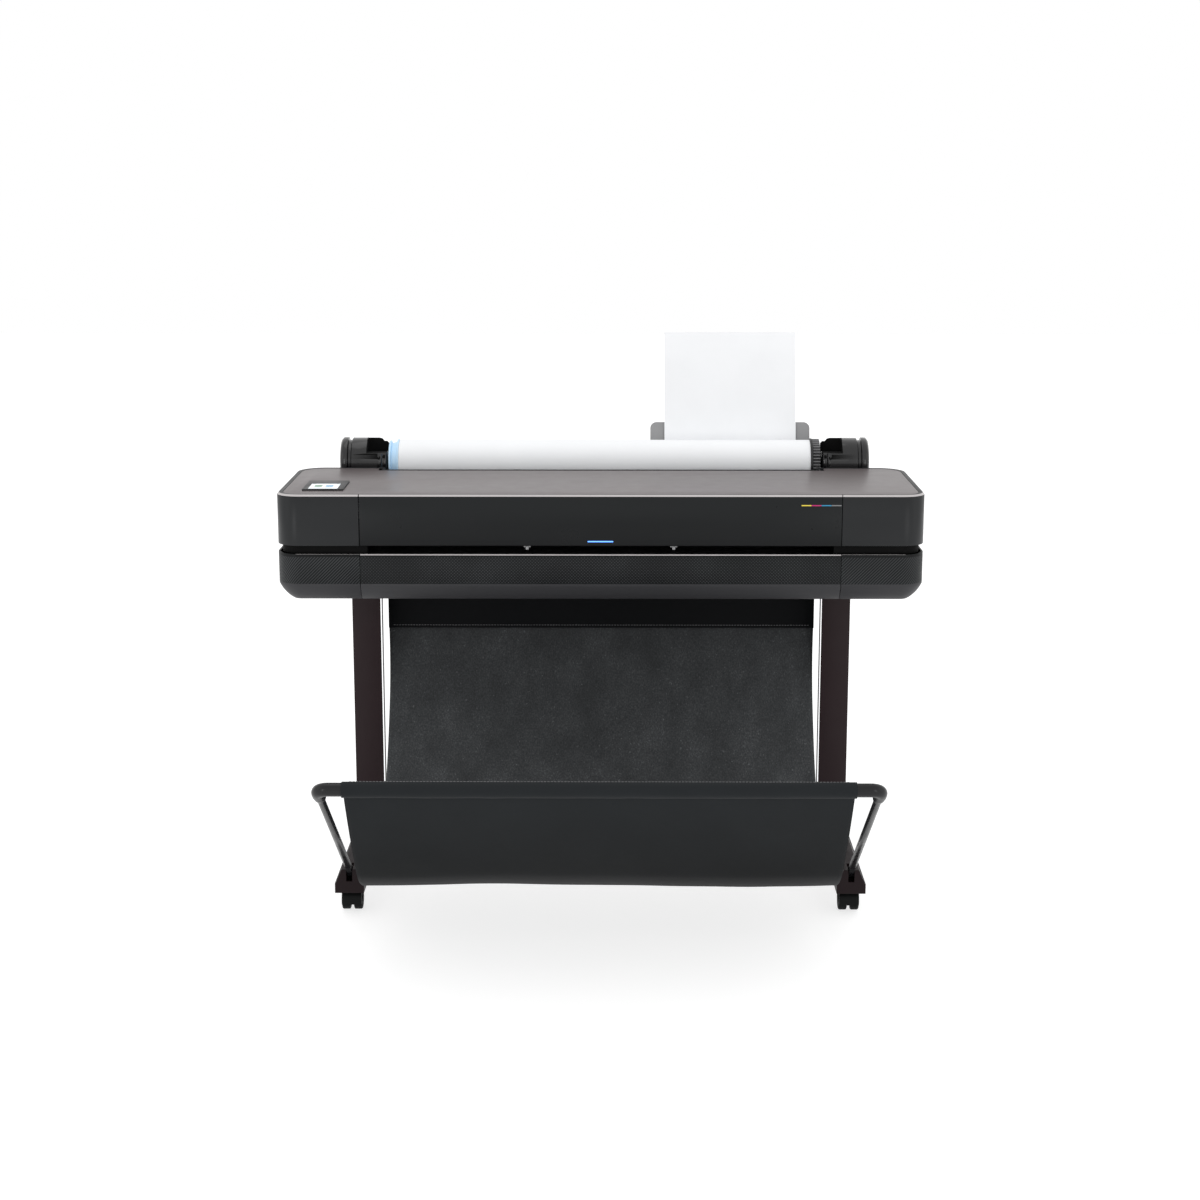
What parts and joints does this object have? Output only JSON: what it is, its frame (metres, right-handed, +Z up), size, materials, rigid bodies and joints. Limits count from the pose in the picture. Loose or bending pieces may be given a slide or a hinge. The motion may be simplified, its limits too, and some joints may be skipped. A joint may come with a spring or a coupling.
{
  "type": "large format plotter",
  "caption": "Wide inkjet plotter on a wheeled stand with a paper roll behind, a sheet feeder and a fabric catch bin that folds up.",
  "frame": {"origin": "on the floor at the centre of the whole outline, at rest with the catch bin open", "axes": "+X to the right seen from the front, +Y to the back, +Z up"},
  "size_m": [1.331, 1.1087, 1.1506],
  "materials": {
    "frame_steel": "satin",
    "textured_plastic": "fine moulded texture",
    "body_plastic": "satin",
    "top_paint": "satin, slightly metallic",
    "black_plastic": "matte",
    "rail_aluminium": "satin",
    "belt_rubber": "matte",
    "grey_plastic": "satin",
    "ink_yellow": "satin",
    "ink_magenta": "satin",
    "ink_cyan": "satin",
    "ink_grey": "satin",
    "board_green": "satin",
    "gloss_black": "glossy",
    "screen_glass": "glossy",
    "leg_paint": "satin powder coat",
    "foot_paint": "satin powder coat",
    "steel": "satin",
    "band_fabric": "smooth",
    "bin_fabric": "mottled nonwoven",
    "panel_fabric": "smooth coated",
    "window_plastic": "satin",
    "light_blue": "lit",
    "paper": "matte",
    "blue_plastic": "satin",
    "gear_plastic": "matte",
    "tube_black": "semi-gloss",
    "caster_black": "satin",
    "caster_tread": "matte"
  },
  "bodies": {
    "root": {"chassis": "frame_steel", "lower_front_cover": "textured_plastic", "lower_left_cover": "body_plastic", "lower_right_cover": "body_plastic", "upper_left_cover": "body_plastic", "upper_right_cover": "body_plastic", "top_cover": "top_paint", "rear_cover": "body_plastic", "platen": "black_plastic", "carriage_rail": "rail_aluminium", "drive_belt": "belt_rubber", "service_station": "grey_plastic", "ink_bay": "black_plastic", "ink_cartridge_yellow": "ink_yellow", "ink_cartridge_magenta": "ink_magenta", "ink_cartridge_cyan": "ink_cyan", "ink_cartridge_black": "ink_grey", "power_supply": "frame_steel", "main_board": "board_green", "control_bezel": "gloss_black", "touch_screen": "screen_glass", "roll_support_left": "gloss_black", "roll_support_right": "gloss_black", "feeder_base": "grey_plastic", "leg_left": "leg_paint", "leg_right": "leg_paint", "foot_left": "foot_paint", "foot_right": "foot_paint", "cross_brace": "leg_paint", "leg_bolts": "steel", "bin_band": "band_fabric", "bin_rear_sheet": "bin_fabric", "feed_motor": "black_plastic"},
    "window": {"front_window": "window_plastic", "status_light": "light_blue", "ink_marks": "ink_grey"},
    "ink_door": {"ink_door": "body_plastic"},
    "roll": {"media_roll": "paper", "roll_spindle": "black_plastic", "spindle_flange_left": "blue_plastic", "spindle_flange_right": "black_plastic"},
    "carriage": {"print_carriage": "black_plastic"},
    "drive_pulley": {"drive_pulley": "rail_aluminium"},
    "idler_pulley": {"idler_pulley": "rail_aluminium"},
    "feed_roller": {"feed_roller": "belt_rubber", "feed_gear": "gear_plastic"},
    "motor_pinion": {"motor_pinion": "steel"},
    "bin": {"bin_frame": "tube_black", "bin_front_panel": "panel_fabric"},
    "feeder_extension": {"feeder_extension": "grey_plastic"},
    "sheet": {"paper_sheet": "paper"},
    "power_button": {"power_button": "grey_plastic"},
    "fork_front_left": {"caster_fork_front_left": "caster_black"},
    "wheels_front_left": {"caster_wheels_front_left": "caster_tread"},
    "fork_front_right": {"caster_fork_front_right": "caster_black"},
    "wheels_front_right": {"caster_wheels_front_right": "caster_tread"},
    "fork_rear_left": {"caster_fork_rear_left": "caster_black"},
    "wheels_rear_left": {"caster_wheels_rear_left": "caster_tread"},
    "fork_rear_right": {"caster_fork_rear_right": "caster_black"},
    "wheels_rear_right": {"caster_wheels_rear_right": "caster_tread"}
  },
  "joints": [
    {"name": "window_hinge", "type": "hinge", "parent": "root", "child": "window", "pos_m": [0, -0.0138, 0.8692], "axis": [-1, 0, 0], "range_deg": [0, 80]},
    {"name": "ink_door_hinge", "type": "hinge", "parent": "root", "child": "ink_door", "pos_m": [0.6657, 0.0242, 0.817], "axis": [0, 0, 1], "range_deg": [0, 95]},
    {"name": "roll_spin", "type": "hinge", "parent": "root", "child": "roll", "pos_m": [0.007, 0.416, 0.874], "axis": [1, 0, 0], "continuous": true},
    {"name": "carriage_slide", "type": "slide", "parent": "root", "child": "carriage", "axis": [-1, 0, 0], "range_m": [0, 1.06]},
    {"name": "drive_pulley_spin", "type": "hinge", "parent": "root", "child": "drive_pulley", "pos_m": [-0.608, 0.194, 0.847], "axis": [0, 0, 1], "continuous": true},
    {"name": "idler_pulley_spin", "type": "hinge", "parent": "root", "child": "idler_pulley", "pos_m": [0.608, 0.194, 0.847], "axis": [0, 0, 1], "continuous": true},
    {"name": "feed_roller_spin", "type": "hinge", "parent": "root", "child": "feed_roller", "pos_m": [0, 0.075, 0.733], "axis": [1, 0, 0], "continuous": true},
    {"name": "motor_pinion_spin", "type": "hinge", "parent": "root", "child": "motor_pinion", "pos_m": [-0.496, 0.075, 0.706], "axis": [1, 0, 0], "continuous": true},
    {"name": "bin_pivot", "type": "hinge", "parent": "root", "child": "bin", "pos_m": [0, -0.11, 0.095], "axis": [-1, 0, 0], "range_deg": [0, 54]},
    {"name": "extension_slide", "type": "slide", "parent": "root", "child": "feeder_extension", "axis": [0, -0.2588, -0.9659], "range_m": [0, 0.06]},
    {"name": "sheet_lift", "type": "slide", "parent": "root", "child": "sheet", "axis": [0, 0.2588, 0.9659], "range_m": [0, 0.3]},
    {"name": "power_button_press", "type": "slide", "parent": "root", "child": "power_button", "axis": [0, -1, 0], "range_m": [0, 0.002], "stiffness_N_per_m": 800},
    {"name": "swivel_front_left", "type": "hinge", "parent": "root", "child": "fork_front_left", "pos_m": [-0.518, -0.085, 0.06], "axis": [0, 0, 1], "continuous": true},
    {"name": "wheel_front_left", "type": "hinge", "parent": "fork_front_left", "child": "wheels_front_left", "pos_m": [-0.518, -0.073, 0.024], "axis": [1, 0, 0], "continuous": true},
    {"name": "swivel_front_right", "type": "hinge", "parent": "root", "child": "fork_front_right", "pos_m": [0.518, -0.085, 0.06], "axis": [0, 0, 1], "continuous": true},
    {"name": "wheel_front_right", "type": "hinge", "parent": "fork_front_right", "child": "wheels_front_right", "pos_m": [0.518, -0.073, 0.024], "axis": [1, 0, 0], "continuous": true},
    {"name": "swivel_rear_left", "type": "hinge", "parent": "root", "child": "fork_rear_left", "pos_m": [-0.518, 0.432, 0.06], "axis": [0, 0, 1], "continuous": true},
    {"name": "wheel_rear_left", "type": "hinge", "parent": "fork_rear_left", "child": "wheels_rear_left", "pos_m": [-0.518, 0.444, 0.024], "axis": [1, 0, 0], "continuous": true},
    {"name": "swivel_rear_right", "type": "hinge", "parent": "root", "child": "fork_rear_right", "pos_m": [0.518, 0.432, 0.06], "axis": [0, 0, 1], "continuous": true},
    {"name": "wheel_rear_right", "type": "hinge", "parent": "fork_rear_right", "child": "wheels_rear_right", "pos_m": [0.518, 0.444, 0.024], "axis": [1, 0, 0], "continuous": true}
  ],
  "couplings": [
    {"joint": "motor_pinion_spin", "follows": "feed_roller_spin", "ratio": -2}
  ]
}
